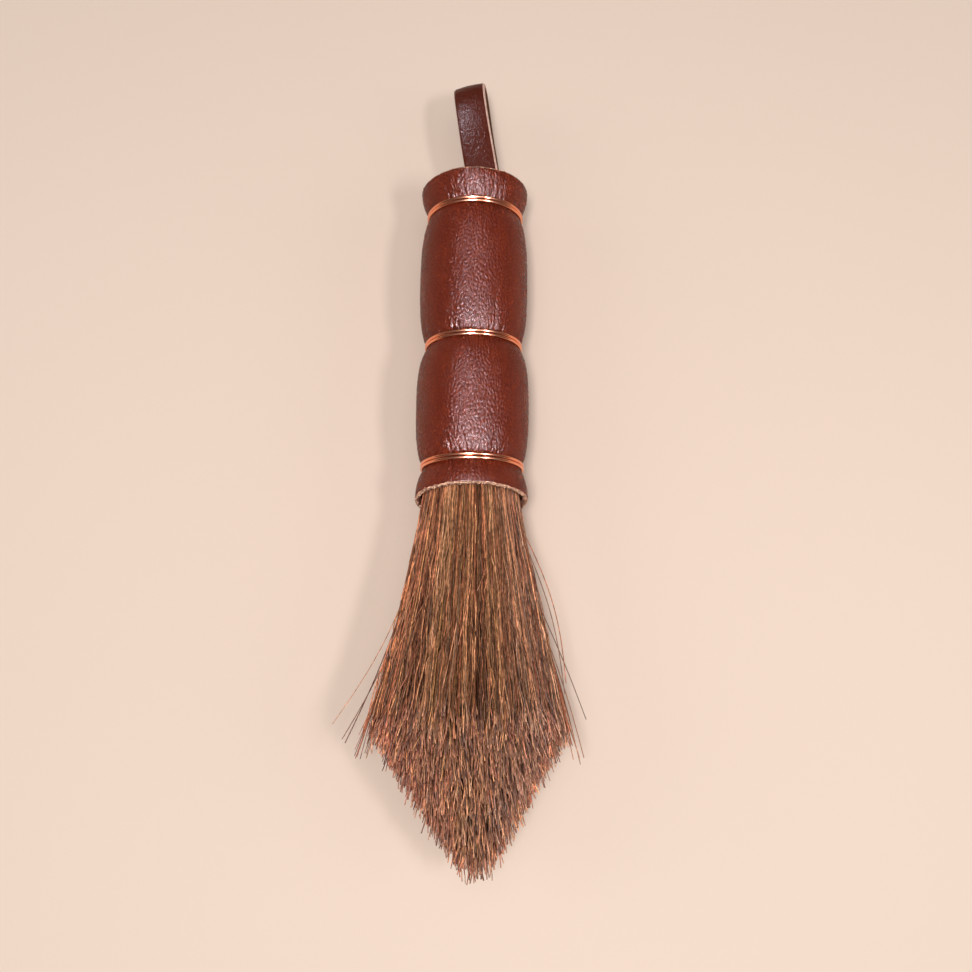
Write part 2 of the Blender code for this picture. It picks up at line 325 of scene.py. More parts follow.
def copper_wire(name):
    """Drawn copper: bright, with faint draw lines and a little browning."""
    n = Nodes(name)
    broad = n.noise(n.place((1, 1, 1)), 260.0, 3.0)
    fine = n.noise(n.place((1, 1, 1)), 4200.0, 3.0)
    browned = n.greys(broad, (0.35, 0), (0.75, 1))
    n.set(Base_Color=n.mix(browned, (0.92, 0.35, 0.19), (0.80, 0.27, 0.13)), Metallic=1.0)
    n.set(Roughness=n.greys(fine, (0.3, 0.17), (0.75, 0.25)))
    return n.material


def steel_wire(name):
    n = Nodes(name)
    fine = n.noise(n.place((1, 1, 1)), 3000.0, 3.0)
    n.set(Base_Color=n.mix(fine, (0.30, 0.29, 0.28), (0.52, 0.51, 0.49)), Metallic=1.0)
    n.set(Roughness=n.greys(fine, (0.3, 0.3), (0.7, 0.5)))
    return n.material


def plant_fibre(name):
    """Stiff plant fibre. Each fibre's own tint is in the mesh, and nodes vary it along the fibre."""
    n = Nodes(name)
    tint = n.add("Attribute", attribute_name="tint").outputs["Color"]
    streak = n.noise(n.place((1, 0.17, 1)), 900.0, 4.0, 0.65)
    fleck = n.noise(n.place((1, 0.35, 1)), 2600.0, 3.0, 0.6)
    shade = n.greys(streak, (0.30, 0.50), (0.52, 1.0), (0.72, 1.35))
    colour = n.mix(1.0, tint, shade, "MULTIPLY")
    colour = n.mix(1.0, colour, n.greys(fleck, (0.34, 0.48), (0.66, 1.45)), "MULTIPLY")
    n.set(Base_Color=colour)
    n.set(Roughness=n.greys(fleck, (0.3, 0.30), (0.7, 0.50)))
    n.set(Specular_IOR_Level=0.3)
    n.set(Normal=n.bump(fleck, 0.3, 0.00005))
    return n.material


def pale_floor(name):
    n = Nodes(name)
    broad = n.noise(n.place((1, 1, 1)), 3.0, 3.0)
    n.set(Base_Color=n.mix(broad, (0.83, 0.67, 0.57), (0.86, 0.71, 0.61)), Roughness=0.75)
    n.set(Specular_IOR_Level=0.2)
    return n.material


# ---------------------------------------------------------------- the leather wrap


def binding_seat(node):
    """(height, outer radius) of a copper binding, from its box in the frame."""
    low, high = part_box(node)
    return (centre(node) - mouth).dot(along) / MM, (high.x - low.x) / 2 / MM


SEATS = [binding_seat("copper_binding_" + place) for place in ("mouth", "middle", "top")]


def wrap_radius(s):
    """The leather's smooth outer radius at heights s, before any crease."""
    waists = [outside - WIRE + WIRE_BITE for _, outside in SEATS]
    (mouth_s, _), (middle_s, _), (top_s, _) = SEATS

    def bulge(low, high, below, above, radius):
        share = np.clip((s - low - GROOVE) / (high - low - 2 * GROOVE), 0, 1)
        waist = below + (above - below) * share
        return waist + (radius - waist) * (1 - abs(2 * share - 1) ** BULGE_FULLNESS) ** BULGE_SHOULDER

    def flare(share, waist, end):
        return waist + (end - waist) * np.sin(pi / 2 * np.clip(share, 0, 1)) ** FLARE_POWER

    radius = np.where(
        s < mouth_s,
        flare(1 - s / (mouth_s - GROOVE), waists[0], RIM_RADIUS),
        flare((s - top_s - GROOVE) / (WRAP_LENGTH - top_s - GROOVE), waists[2], FLANGE_RADIUS),
    )
    lower = bulge(mouth_s, middle_s, waists[0], waists[1], LOWER_BULGE_RADIUS)
    upper = bulge(middle_s, top_s, waists[1], waists[2], UPPER_BULGE_RADIUS)
    radius = np.where((s >= mouth_s) & (s < middle_s), lower, radius)
    return np.where((s >= middle_s) & (s < top_s), upper, radius)


FOLDS = 88
FOLD_WIDTH = (0.20, 0.36)
FOLD_REACH = (1.2, 5.0)
FOLD_DEPTH = (0.05, 0.26)
FOLD_DRIFT = 0.014


def creases(theta, s, rng):
    """Folds where the leather is gathered under each wire, deepest at the wire."""
    depth = np.zeros(np.broadcast(theta, s).shape)
    for seat, outside in SEATS:
        for side in (-1, 1):
            gap = side * (s - seat) - 0.3
            near = smooth(gap / 0.8 + 0.6)
            for n in range(FOLDS):
                angle = tau * (n + rng.uniform(-0.42, 0.42)) / FOLDS
                drift = rng.normal(0, FOLD_DRIFT)
                width = rng.uniform(*FOLD_WIDTH)
                reach = rng.uniform(*FOLD_REACH)
                deep = rng.uniform(*FOLD_DEPTH)
                off = (theta - angle - drift * gap + pi) % tau - pi
                fade = np.exp(-((np.clip(gap, 0, None) / reach) ** 1.4)) * near
                depth -= deep * fade * np.exp(-((off * outside / width) ** 2))
    return depth


def pebbles(u, v, period, rng):
    """Cell noise, periodic in u: 0 in the grooves between cells, near 1 on the crown of each."""
    rows = int(v.max()) + 5
    jitter = rng.uniform(0.08, 0.92, (period, rows, 2))
    height = rng.uniform(0.75, 1.0, (period, rows))
    cell_u, cell_v = np.floor(u).astype(int), np.floor(v).astype(int)
    near = np.full((2, *u.shape), 9.0)
    crown = np.zeros(u.shape)
    for du in (-1, 0, 1):
        for dv in (-1, 0, 1):
            at = (cell_u + du) % period, (cell_v + dv + 1) % rows
            spot = jitter[at]
            off = np.hypot(cell_u + du + spot[..., 0] - u, cell_v + dv + spot[..., 1] - v)
            crown = np.where(off < near[0], height[at], crown)
            near[1] = np.minimum(near[1], np.maximum(near[0], off))
            near[0] = np.minimum(near[0], off)
    rise = np.clip((near[1] - near[0]) / 0.9, 0, 1)
    return crown * (1 - (1 - rise) ** 2)


def wobble(theta, rng, lowest, highest, size):
    """A random closed wave round the axis."""
    waves = highest - lowest + 1
    total = 0 * theta
    for k in range(lowest, highest + 1):
        total = total + rng.normal() * np.cos(k * theta + rng.uniform(0, tau)) / waves**0.5
    return size * total


SEAM_ANGLE = radians(232)
COVER_COLUMNS = 580
COVER_STEP = 0.25
INNER_ROWS = 8
GRAIN_WIDTH = 0.76
GRAIN_LENGTH = 1.22
GRAIN_DEPTH = 0.185
MEAN_GRAIN = 0.6
WAVE_HEIGHT = 0.05
LAP = 0.9
THINNED_LAP = 0.2
TABLE_GAP = 0.02 * MM

# Material slots of the leather pieces
GRAIN_SIDE, RAW_EDGE, FLESH_SIDE = 0, 1, 2

# The raw ends: how far they stray from straight, and how the cut slants and is bitten into
ENDS_SEED = 11
RIM_DROOP = 3.0
DROOP_REACH = 5.5
RAGGED_REACH = 1.2
EDGE_ROWS = 5
EDGE_ROUGHNESS = 0.05
CUT_SLANT = radians(33)
CUT_BULGE = 0.16
RIM_BITES = 0.9
FLANGE_BITES = 0.35
BITE_DEPTH = 0.9


def cover_radius(theta, s, seed):
    """The leather's outer radius with its folds, grain, slow waves and the lap of its two edges."""
    rng = np.random.default_rng(seed)
    turn = (theta - SEAM_ANGLE) / tau
    base = wrap_radius(s)
    period = int(tau * 14 / GRAIN_WIDTH)
    u = turn * period + 0.5 * np.sin(s / 1.9 + 9 * theta) + 0.35 * np.sin(s / 0.9 - 5 * theta)
    v = s / GRAIN_LENGTH + 0.4 * np.sin(23 * theta + s / 3.1) + 1
    grain = GRAIN_DEPTH * (pebbles(u, v, period, rng) - MEAN_GRAIN)
    waist = min(outside for _, outside in SEATS) - WIRE
    lap = THINNED_LAP + (LAP - THINNED_LAP) * smooth((base - waist) / 2)
    lap = lap * smooth((turn - 0.80) / 0.17)
    wave = 0
    for k in range(3):
        wave = wave + wobble(theta + 0.03 * k * np.sin(s / 9 + k), rng, 2 + k, 5 + k, WAVE_HEIGHT)
    return base + creases(theta, s, rng) + grain + wave + lap


def cover_ends(theta, s, rng):
    """How far the leather's cut ends stray from straight: the rim droops, and both are ragged."""
    rim = wobble(theta, rng, 5, 60, 0.10) - 0.25 * np.maximum(0, wobble(theta, rng, 20, 90, 1) - 1.2)
    top = wobble(theta, rng, 3, 30, 0.05)
    droop = RIM_DROOP * (1 - np.sin(theta)) / 2 - RIM_DROOP / 6
    shift = top * np.exp(np.minimum(0, s - WRAP_LENGTH) / RAGGED_REACH) - rim * np.exp(-s / RAGGED_REACH)
    return s + shift - droop * np.clip(1 - s / DROOP_REACH, 0, 1) ** 1.5


def cut_edge(theta, s, radius, leaning, rng):
    """Rows across the leather's raw end, from its grain side to its flesh side.

    Leaning is -1 at the rim, where s falls outwards, and 1 at the flange.
    """
    share = np.arange(1, EDGE_ROWS)[:, None] / EDGE_ROWS
    rough = rng.normal(0, EDGE_ROUGHNESS, (EDGE_ROWS - 1, COVER_COLUMNS))
    bites = RIM_BITES if leaning < 0 else FLANGE_BITES
    bite = bites * smooth(wobble(theta, rng, 40, 110, 1.0) - 0.1) * share
    deep = LEATHER * share * (1 - bite)
    out = leaning * (CUT_BULGE * np.sin(pi * share) + sin(CUT_SLANT) * deep)
    return s + out + rough, radius - cos(CUT_SLANT) * deep + 0.5 * rough


def cover_heights(low, high):
    """Heights from high down to low, evenly spaced along the leather's curved outside."""
    fine = np.linspace(high, low, 2000)
    length = np.concatenate([[0], np.cumsum(np.hypot(np.diff(fine), np.diff(wrap_radius(fine))))])
    even = np.linspace(0, length[-1], int(length[-1] / COVER_STEP))
    return np.interp(even, length, fine)[:, None]


def inner_rows(theta, low, high, radius):
    """(s, radius) of the flesh side, a leather's thickness in. It starts behind the bites of a raw end."""
    first = low + BITE_DEPTH * (low == 0)
    last = high - BITE_DEPTH * (high == WRAP_LENGTH)
    s = np.linspace(first, last, INNER_ROWS)[:, None]
    share = (s - low) / (high - low)
    end = np.maximum(np.exp(-8 * share), np.exp(8 * (share - 1)))
    outside = np.where(share < 0.5, radius[-1:], radius[:1]) * end + wrap_radius(s) * (1 - end)
    return cover_ends(theta, s, np.random.default_rng(ENDS_SEED)), outside - LEATHER


def leather_section(name, low, high, seed):
    """A length of the cover between two wires, or from a wire to a raw end, as a closed sleeve."""
    theta = SEAM_ANGLE + tau * np.linspace(0, 1, COVER_COLUMNS, endpoint=False)[None, :]
    heights = cover_heights(low, high)
    radius = cover_radius(theta, heights, seed)
    s = cover_ends(theta, heights, np.random.default_rng(ENDS_SEED))
    rows = [(s, radius, GRAIN_SIDE)]
    rng = np.random.default_rng(seed + 1)
    if low == 0:
        rows.append((*cut_edge(theta, s[-1:], radius[-1:], -1, rng), RAW_EDGE))
    rows.append((*inner_rows(theta, low, high, radius), FLESH_SIDE))
    if high == WRAP_LENGTH:
        edge = cut_edge(theta, s[:1], radius[:1], 1, rng)
        rows.append((*[row[::-1] for row in edge], RAW_EDGE))
    s_all, r_all = (np.concatenate([row[k] for row in rows]) for k in (0, 1))
    row_slot = np.concatenate([np.full(len(row[0]), row[2]) for row in rows])
    row_slot[len(s) - 1] = row_slot[len(s)]
    slots = np.repeat(row_slot[:, None], COVER_COLUMNS, 1)
    slots[: len(s) - 1, -1] = RAW_EDGE
    points = world(r_all * np.cos(theta), r_all * np.sin(theta), s_all)
    points[..., 2] = np.maximum(points[..., 2], TABLE_GAP)
    faces = grid_faces(len(s_all), COVER_COLUMNS, wrap_rows=True, wrap_columns=True)
    mesh = mesh_of(name, points.reshape(-1, 3), [faces], slots=slots.ravel())
    section = piece(name, mesh, wrap_leather, raw_edge, flesh_side)
    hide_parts("leather_wrap")
    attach(section, "handle")


def leather_cover():
    """One sheet rolled into a tube and cinched three times. The wires hide where its sections meet."""
    (mouth_s, _), (middle_s, _), (top_s, _) = SEATS
    leather_section("leather_rim", 0.0, mouth_s, 31)
    leather_section("leather_lower", mouth_s, middle_s, 41)
    leather_section("leather_upper", middle_s, top_s, 51)
    leather_section("leather_flange", top_s, WRAP_LENGTH, 61)


# ---------------------------------------------------------------- the copper bindings

WIRE_SEGMENTS = 150
WIRE_SIDES = 14
TURNS = 2
FIRST_TURN_ANGLE = radians(262)
TUCK_DEPTH = 1.1


def binding(place, seat, outside, seed):
    """Two turns side by side. They cross and tuck in underneath."""
    rng = np.random.default_rng(seed)
    turn = np.linspace(0, TURNS, TURNS * WIRE_SEGMENTS + 1)
    angle = FIRST_TURN_ANGLE + tau * turn
    step = np.floor(turn) + smooth((turn % 1 - 0.90) / 0.10)
    step[-1] = TURNS
    ends = smooth((turn - 0.04) / 0.05) * smooth((TURNS - 0.04 - turn) / 0.05)
    lift = wobble(angle, rng, 2, 4, 0.03)
    radius = outside - WIRE / 2 + lift - TUCK_DEPTH * (1 - ends)
    s = seat + WIRE_PITCH * (np.minimum(step, TURNS - 1) - (TURNS - 1) / 2) + wobble(angle, rng, 2, 4, 0.02)
    path = world(radius * np.cos(angle), radius * np.sin(angle), s)
    wire = piece("binding_" + place, tube_mesh("binding_" + place, path, WIRE / 2 * MM, WIRE_SIDES), copper)
    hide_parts("copper_binding_" + place)
    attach(wire, "handle")


# ---------------------------------------------------------------- the strap

STRAP_STEP = 0.25
STRAP_TWIST = radians(-3)
STRAP_BOW = 0.22
STRAP_CROWN = 0.28
STRAP_BEVEL = 0.42
STRAP_GRAIN_DEPTH = 0.08
STRAP_GRAIN_SLANT = 0.45
FACE_POINTS = 37
FLESH_POINTS = 11
SIDE_POINTS = 4
TAIL_POINTS = 40
TAIL_GAP = 0.04
BEND_STARTS = -1.2
BEND_ENDS = 5.0


def strap_line():
    """(out, up) of the strap's middle line, from one tail over the fold to the other, evenly spaced."""
    phi = np.linspace(0.16, tau - 0.16, 400)
    out = (LOOP_LENGTH - STRAP_THICK) * (1 - np.cos(phi)) / 2
    up = LOOP_HALF_GAP * TEARDROP_SCALE * np.sin(phi) * np.sin(phi / 2)
    tangent = np.stack([np.gradient(out), np.gradient(up)], -1)
    tangent /= np.linalg.norm(tangent, axis=1, keepdims=True)
    out = out - tangent[:, 1] * STRAP_THICK / 2
    up = up + tangent[:, 0] * STRAP_THICK / 2
    tail = np.linspace(-TAIL_LENGTH - 2, -1.5, TAIL_POINTS)
    flat = np.full(TAIL_POINTS, STRAP_THICK / 2 + TAIL_GAP)
    out = np.concatenate([tail, out, tail[::-1]])
    up = np.concatenate([flat, up, -flat])
    length = np.concatenate([[0], np.cumsum(np.hypot(np.diff(out), np.diff(up)))])
    even = np.linspace(0, length[-1], int(length[-1] / STRAP_STEP))
    out, up = np.interp(even, length, out), np.interp(even, length, up)
    for _ in range(12):
        out[1:-1] += 0.5 * ((out[2:] + out[:-2]) / 2 - out[1:-1])
        up[1:-1] += 0.5 * ((up[2:] + up[:-2]) / 2 - up[1:-1])
    return out, up


def strap_section():
    """(sideways, outward, slot) round the strap's section: grain face, cut side, flesh face, cut side."""
    half, thick = STRAP_WIDTH / 2, STRAP_THICK / 2
    face = np.linspace(-1, 1, FACE_POINTS)
    round_off = 0.30 * smooth((-face - 0.9) / 0.1) + STRAP_CROWN * (face**2 - 0.5)
    width = half - STRAP_BEVEL * (face > 0)
    points = [(w * f, thick - r, 0) for w, f, r in zip(width, face, round_off)]
    right_top = points[-1][1]
    side = np.linspace(0.85, -1, SIDE_POINTS + 1)[:-1]
    points += [(half, (right_top - STRAP_BEVEL * 0.8) * t, 1) for t in np.linspace(1, 0, 3)]
    flesh = np.linspace(1, -1, FLESH_POINTS)
    points += [(half * f, -thick - 0.5 * STRAP_CROWN * (f**2 - 0.5), 2) for f in flesh]
    points += [(-half - 0.06 * (1 - t * t), (thick - 0.1) * t - 0.12, 1) for t in side[::-1]]
    return np.array(points)


def strap_grain(sideways, length, rng):
    """Height of the grain face's pebbles, which are long and lie slanting across the strap."""
    u = (sideways - STRAP_GRAIN_SLANT * length) / 0.75 + 200
    v = (length + STRAP_GRAIN_SLANT * sideways) / 2.0 + 4
    return STRAP_GRAIN_DEPTH * (pebbles(u, v, 4000, rng) - MEAN_GRAIN)


def lean_loop(sideways, up, out):
    """(x, up, s) of the loop rolled and leaning as it lies. The tails in the handle stay straight."""
    share = smooth((out + 1.5) / 5.0)
    middle = np.sin(pi * np.clip(out / LOOP_LENGTH, 0, 1))
    roll, lean = LOOP_ROLL * share + STRAP_TWIST * middle, LOOP_LEAN * share
    sideways = sideways - STRAP_BOW * middle
    x = sideways * np.cos(roll) - up * np.sin(roll)
    rise = sideways * np.sin(roll) + up * np.cos(roll)
    return x * np.cos(lean) + out * np.sin(lean), rise, out * np.cos(lean) - x * np.sin(lean)


def strap_points(section, rng):
    """Rows of (x, up, s) round the strap's section, from one tail over the fold to the other."""
    out, up = strap_line()
    tangent = np.stack([np.gradient(out), np.gradient(up)], -1)
    tangent /= np.linalg.norm(tangent, axis=1, keepdims=True)
    across_section, outward, kind = section.T[:, None]
    sideways = across_section * (1 + 0.012 * np.sin(out / 5.0)[:, None])
    length = STRAP_STEP * np.arange(len(out))[:, None]
    outward = outward + (kind == GRAIN_SIDE) * strap_grain(across_section, length, rng)
    outward = outward + (kind == RAW_EDGE) * rng.normal(0, 0.01, outward.shape)
    out = out[:, None] - outward * tangent[:, 1][:, None]
    up = up[:, None] + outward * tangent[:, 0][:, None]
    return lean_loop(sideways, up, out)


def hanging_strap():
    section = strap_section()
    x, rise, s = strap_points(section, np.random.default_rng(5))
    rows, columns = x.shape
    pivot = (Vector(joints["loop_bend"]["pos_m"]) - mouth) / MM
    pivot_x, pivot_up, pivot_s = (pivot.dot(direction) for direction in (across, upward, along))
    points = world(x + pivot_x, rise + pivot_up, s + pivot_s)
    faces = grid_faces(rows, columns, wrap_columns=True)
    kind = section[:, 2].astype(int)
    section_slot = np.where(kind == np.roll(kind, -1), kind, RAW_EDGE)
    slots = np.concatenate([np.tile(section_slot, rows - 1), [RAW_EDGE, RAW_EDGE]])
    caps = [np.arange(columns)[::-1][None, :], (rows - 1) * columns + np.arange(columns)[None, :]]
    mesh = mesh_of("hanging_strap", points.reshape(-1, 3), [faces, *caps], slots=slots)
    mesh.flip_normals()
    strap = piece("hanging_strap", mesh, strap_leather, strap_edge, flesh_side)
    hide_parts("strap_loop", "strap_tails")
    start = world(pivot_x, pivot_up, pivot_s + BEND_STARTS)
    end = world(pivot_x, pivot_up, pivot_s + BEND_ENDS)
    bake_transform(strap)


# ---------------------------------------------------------------- the fibres

FIBRES = 6600
FIBRE_WIDTH = 0.30
OUTER_RING = 0.66
CENTRE_SHARE = 4.2 / 12.5
GOLDEN_ANGLE = pi * (3 - 5**0.5)
PALER = 1.10
DRY_END = (0.030, 0.032, 0.046)
CLUMPS = 1400
HANDLE_STEPS = np.array([64.0, 9.5, 5.0, 1.5])
HEAD_STEPS = np.concatenate([[0.0], np.linspace(0.035, 1.0, 26)])
TIP_STEPS = np.array([5.0, 3.2, 1.6, 0.0])
TIP_LENGTH = 6.6
INNER_STEPS = [0, 2, 4, 14, 24, 31, 32, 33, 34]
# How much darker the buried fibres are painted: painted shade
BURIED_PAINTED_SHADE = 0.52

# How unevenly the fibres were cut: each one, each clump, and the odd pit, short or long one
CUT_NOISE = 0.55
CLUMP_CUT_NOISE = 1.2
OUTER_CUT_NOISE = 1.0
PIT_ODDS, PIT_DEPTH = 0.13, 2.6
SHORT_ODDS, SHORT_BY = 0.12, 2.2
LONG_ODDS, LONG_BY, LONGEST_BY = 0.03, 1.2, 1.6

# How the fibres stray from straight: WAVES are (height, shortest pitch, longest pitch)
CLUMP_PULL = 0.74
FAN_NOISE = 0.50
BENT_END = 6.5
BEND_NOISE = 0.6
WAVES = ((0.36, 24, 60), (0.19, 10, 20), (0.085, 6, 9))
SURFACE_GAP = 0.2
BEND_BACK = 2.0
BEND_REACH = 34.0


def spread(out, widest):
    """Half the head's width or depth at a distance out from the mouth."""
    return MOUTH_SPREAD + (widest - MOUTH_SPREAD) * (np.clip(out, 0, None) / SHOULDER) ** SPREAD_POWER


def trim_length(ring):
    """How far out a fibre at this share of the head's width is cut. The cut is a rounded cone."""
    share = np.linspace(0, 1, 400)
    out = SHOULDER + (HEAD_LENGTH - SHOULDER) * share
    reached = HALF_WIDTH * (1 - share) ** TRIM_POWER / spread(out, HALF_WIDTH)
    return np.interp(ring, reached[::-1], out[::-1])


def fibre_tints(ring, angle, clump, rng):
    """Each fibre's colour: dark, russet, tan or grey brown, alike within a clump, with a painted highlight
    on the head's right side.
    """
    palette = np.array(
        [
            (0.300, 0.130, 0.060),
            (0.400, 0.200, 0.095),
            (0.520, 0.290, 0.145),
            (0.180, 0.070, 0.032),
            (0.330, 0.115, 0.055),
            (0.300, 0.190, 0.125),
            (0.560, 0.300, 0.110),
        ]
    )
    odds = [0.27, 0.24, 0.13, 0.13, 0.11, 0.08, 0.04]
    own = palette[rng.choice(len(palette), len(ring), p=odds)]
    shared = palette[rng.choice(len(palette), CLUMPS, p=odds)][clump]
    tint = 0.68 * own + 0.32 * shared
    # The last direction, 0, is the head's right side. Fibres there are painted lighter, a painted highlight
    # for the light falling on that side.
    facing = angle[:, None] + rng.normal(0, 0.2, (len(ring), 1)) - np.radians((95, 35, 165, 0))
    golden, grey, red, painted_lit_side = np.exp(-((((facing + pi) % tau - pi) / 0.5) ** 2)).T[..., None]
    tint = tint * (1 + golden * (0.06, 0.03, -0.08) + grey * (-0.08, 0.0, 0.18) + red * (0.22, 0.06, 0.08))
    tint = tint * (1 + painted_lit_side * (0.42, 0.32, 0.22)) * (1.18, 1.09, 1.16)
    return tint * np.exp(np.clip(rng.normal(0, 0.42, len(ring)), -1.1, 0.62))[:, None]


def settle(x, up, s):
    """Presses fibres that would pass through the table flat onto it, one on another."""
    height = world(x, up, s)[..., 2] / MM
    floor, soft = 0.32, 2.2
    pressed = floor + (soft - floor) * np.exp(np.minimum(0, height - soft) / (soft - floor))
    return up + np.where(height < soft, pressed - height, 0)


def cut_lengths(ring, clump, rng):
    """How far out each fibre is cut."""
    length = trim_length(ring) + rng.normal(0, CUT_NOISE, FIBRES)
    patch = rng.normal(0, 1, CLUMPS)[clump] * CLUMP_CUT_NOISE + rng.normal(0, OUTER_CUT_NOISE, FIBRES)
    patch -= PIT_DEPTH * (rng.random(CLUMPS) < PIT_ODDS)[clump]
    length += patch * smooth((ring - 0.55) / 0.35)
    length -= np.where(rng.random(FIBRES) < SHORT_ODDS, rng.exponential(SHORT_BY, FIBRES), 0)
    longer = np.where(rng.random(FIBRES) < LONG_ODDS, rng.exponential(LONG_BY, FIBRES), 0)
    return length + np.minimum(longer, LONGEST_BY)


def fibre_sway(out, length, rng):
    """Sideways movement of each fibre at each distance out: a fan, slow waves and a bent end."""
    far = (out / SHOULDER)[..., None]
    move = rng.normal(0, FAN_NOISE, (FIBRES, 1, 2)) * far**1.6
    for size, low, high in WAVES:
        pitch = rng.uniform(low, high, (FIBRES, 1))
        swing = rng.normal(0, size, (FIBRES, 1, 2)) * np.clip(0.5 + far, 0, 1)
        move = move + swing * np.sin(tau * out / pitch + rng.uniform(0, tau, (FIBRES, 1)))[..., None]
    last = np.clip(1 - (length[:, None] - out) / BENT_END, 0, 1) ** 1.6
    return move + rng.normal(0, BEND_NOISE, (FIBRES, 1, 2)) * last[..., None]


def fibre_paths(rng):
    """Rows of (x, up, s) for every fibre, from inside the handle to its cut end."""
    number = np.arange(FIBRES)
    ring = np.sqrt((number + 0.5) / FIBRES)
    angle = number * GOLDEN_ANGLE + rng.normal(0, 0.02, FIBRES)
    ring = np.clip(ring + rng.normal(0, 0.014, FIBRES), 0.004, 1.0)
    spots = np.stack([ring * np.cos(angle), ring * np.sin(angle)], -1)
    centres = spots[rng.choice(FIBRES, CLUMPS, replace=False)]
    clump = np.argmin(((spots[:, None] - centres[None]) ** 2).sum(-1), 1)
    pull = centres[clump] - spots
    length = cut_lengths(ring, clump, rng)
    out = np.concatenate([(length - TIP_LENGTH)[:, None] * HEAD_STEPS, length[:, None] - TIP_STEPS], 1)
    at = spots[:, None] + pull[:, None] * (CLUMP_PULL * smooth(out / SHOULDER * 1.2))[..., None]
    move = fibre_sway(out, length, rng)
    x = at[..., 0] * (spread(out, HALF_WIDTH) - SURFACE_GAP) + move[..., 0]
    x += TIP_SHIFT * smooth((out - SHOULDER) / (HEAD_LENGTH - SHOULDER))
    up = at[..., 1] * (spread(out, HALF_DEPTH) - SURFACE_GAP) + move[..., 1]
    inside = np.interp(HANDLE_STEPS, [1.5, 5.0, 9.5, 64.0], [12.2, 10.9, 10.1, 10.1])
    x = np.concatenate([spots[:, :1] * inside, x], 1)
    up = np.concatenate([spots[:, 1:] * inside, up], 1)
    s = np.concatenate([np.broadcast_to(HANDLE_STEPS, (FIBRES, 4)), -out], 1)
    paths = np.stack([x, settle(x, up, s), s], -1)
    return paths, ring, angle, clump


STRAY_POINTS = 13
FRINGE_STRAYS = 26
BROKEN_ENDS = 46
STRAY_WIDTH = (0.18, 0.30)
STRAY_SHADE = 0.8


def strays(rng):
    """Fibres that have sprung out of the head, and broken ends that lie across it."""
    found = []

    def stray(side, leaves, reach, ends, rise, bow):
        """A fibre that leaves one side of the head at a distance out, bows, and ends at x = reach."""
        t = np.linspace(0, 1, STRAY_POINTS) ** 0.9
        out = leaves + (ends - leaves) * t
        start = side * (spread(leaves, HALF_WIDTH) - 0.8)
        x = start + (reach - start) * t + bow * np.sin(pi * t)
        up = rise * t + rng.normal(0, 1.5)
        found.append(np.stack([x, up, -out], -1))

    stray(-1, 24, -33.6, 57.0, -4, 1.6)
    stray(-1, 22, -31.8, 60.5, -9, 2.2)
    stray(-1, 26, -29.5, 61.5, 3, 0.8)
    stray(-1, 30, -28.2, 64.5, -6, 0.5)
    stray(-1, 34, -27.0, 63.0, 5, 0.7)
    stray(1, 8, 23.4, 47.0, 3, 2.4)
    stray(1, 12, 22.6, 50.0, 8, 1.8)
    stray(1, 26, 28.2, 55.5, 2, 0.4)
    stray(1, 32, 28.0, 64.5, -3, 0.6)
    stray(1, 30, 26.6, 66.0, 5, 0.5)
    for _ in range(FRINGE_STRAYS):
        side = rng.choice((-1, 1))
        leaves = rng.uniform(20, 46)
        ends = rng.uniform(57, 66)
        reach = side * (spread(ends, HALF_WIDTH) + rng.uniform(-1.2, 1.6))
        stray(side, leaves, reach, ends, rng.uniform(-9, 9), rng.uniform(-0.3, 0.6))
    for _ in range(BROKEN_ENDS):
        angle = rng.uniform(0, tau)
        start = rng.uniform(8, 50)
        length = rng.uniform(6, 15)
        twist = rng.normal(0, 0.12)
        t = np.linspace(0, 1, STRAY_POINTS)
        out = start + length * t
        turned = angle + twist * t
        x = (spread(out, HALF_WIDTH) + 0.1) * np.cos(turned)
        up = (spread(out, HALF_DEPTH) + 0.1) * np.sin(turned)
        found.append(np.stack([x, up, -out], -1))
    paths = np.array(found)
    paths[..., 1] = settle(paths[..., 0], paths[..., 1], paths[..., 2])
    return paths


def fibre_tubes(paths, thick, tints, buried_shade, phase, sides):
    """(points, walls, caps, colours) of one closed tube for each path, cut square to the brush's axis.

    Buried fibres are painted darker up to their cut ends: painted shade for the shadow down in the bundle.
    """
    count, steps = paths.shape[:2]
    angles = tau * np.arange(sides) / sides + phase[:, None]
    ring = np.stack([np.cos(angles), np.sin(angles), 0 * angles], -1)[:, None]
    taper = np.linspace(1.0, 0.9, steps)[None, :, None, None]
    points = paths[:, :, None] + ring * taper * (thick / 2)[:, None, None, None]
    points = world(points[..., 0], points[..., 1], points[..., 2]).reshape(-1, 3)
    first = np.arange(count)[:, None, None] * steps * sides
    walls = first + grid_faces(steps, sides, wrap_columns=True)[:, ::-1]
    caps = first + np.stack([np.arange(sides), (steps - 1) * sides + np.arange(sides)[::-1]])
    colours = np.ones((count, steps, sides, 4), np.float32)
    colours[..., :3] = tints[:, None, None]
    # Painted shade: fibres under the head's surface are darker, more so further out
    depth = buried_shade[:, None] * np.linspace(0.25, 1, steps - 3)
    colours[:, :-3, :, :3] *= (1 - BURIED_PAINTED_SHADE * depth)[:, :, None, None]
    colours[:, -2:, :, :3] = PALER * colours[:, -2:, :, :3] + DRY_END
    return points, walls.reshape(-1, 4), caps.reshape(-1, sides), colours.reshape(-1, 4)


def fibre_mesh(name, *tubes):
    """One mesh of several sets of fibre tubes."""
    faces, smoothed, first = [], [], 0
    for points, walls, caps, _ in tubes:
        faces += [first + walls, first + caps]
        smoothed += [np.ones(len(walls), bool), np.zeros(len(caps), bool)]
        first += len(points)
    points = np.concatenate([t[0] for t in tubes])
    mesh = mesh_of(name, points, faces, smooth_faces=np.concatenate(smoothed))
    layer = mesh.color_attributes.new("tint", "FLOAT_COLOR", "POINT")
    layer.data.foreach_set("color", np.concatenate([t[3] for t in tubes]).ravel())
    return mesh


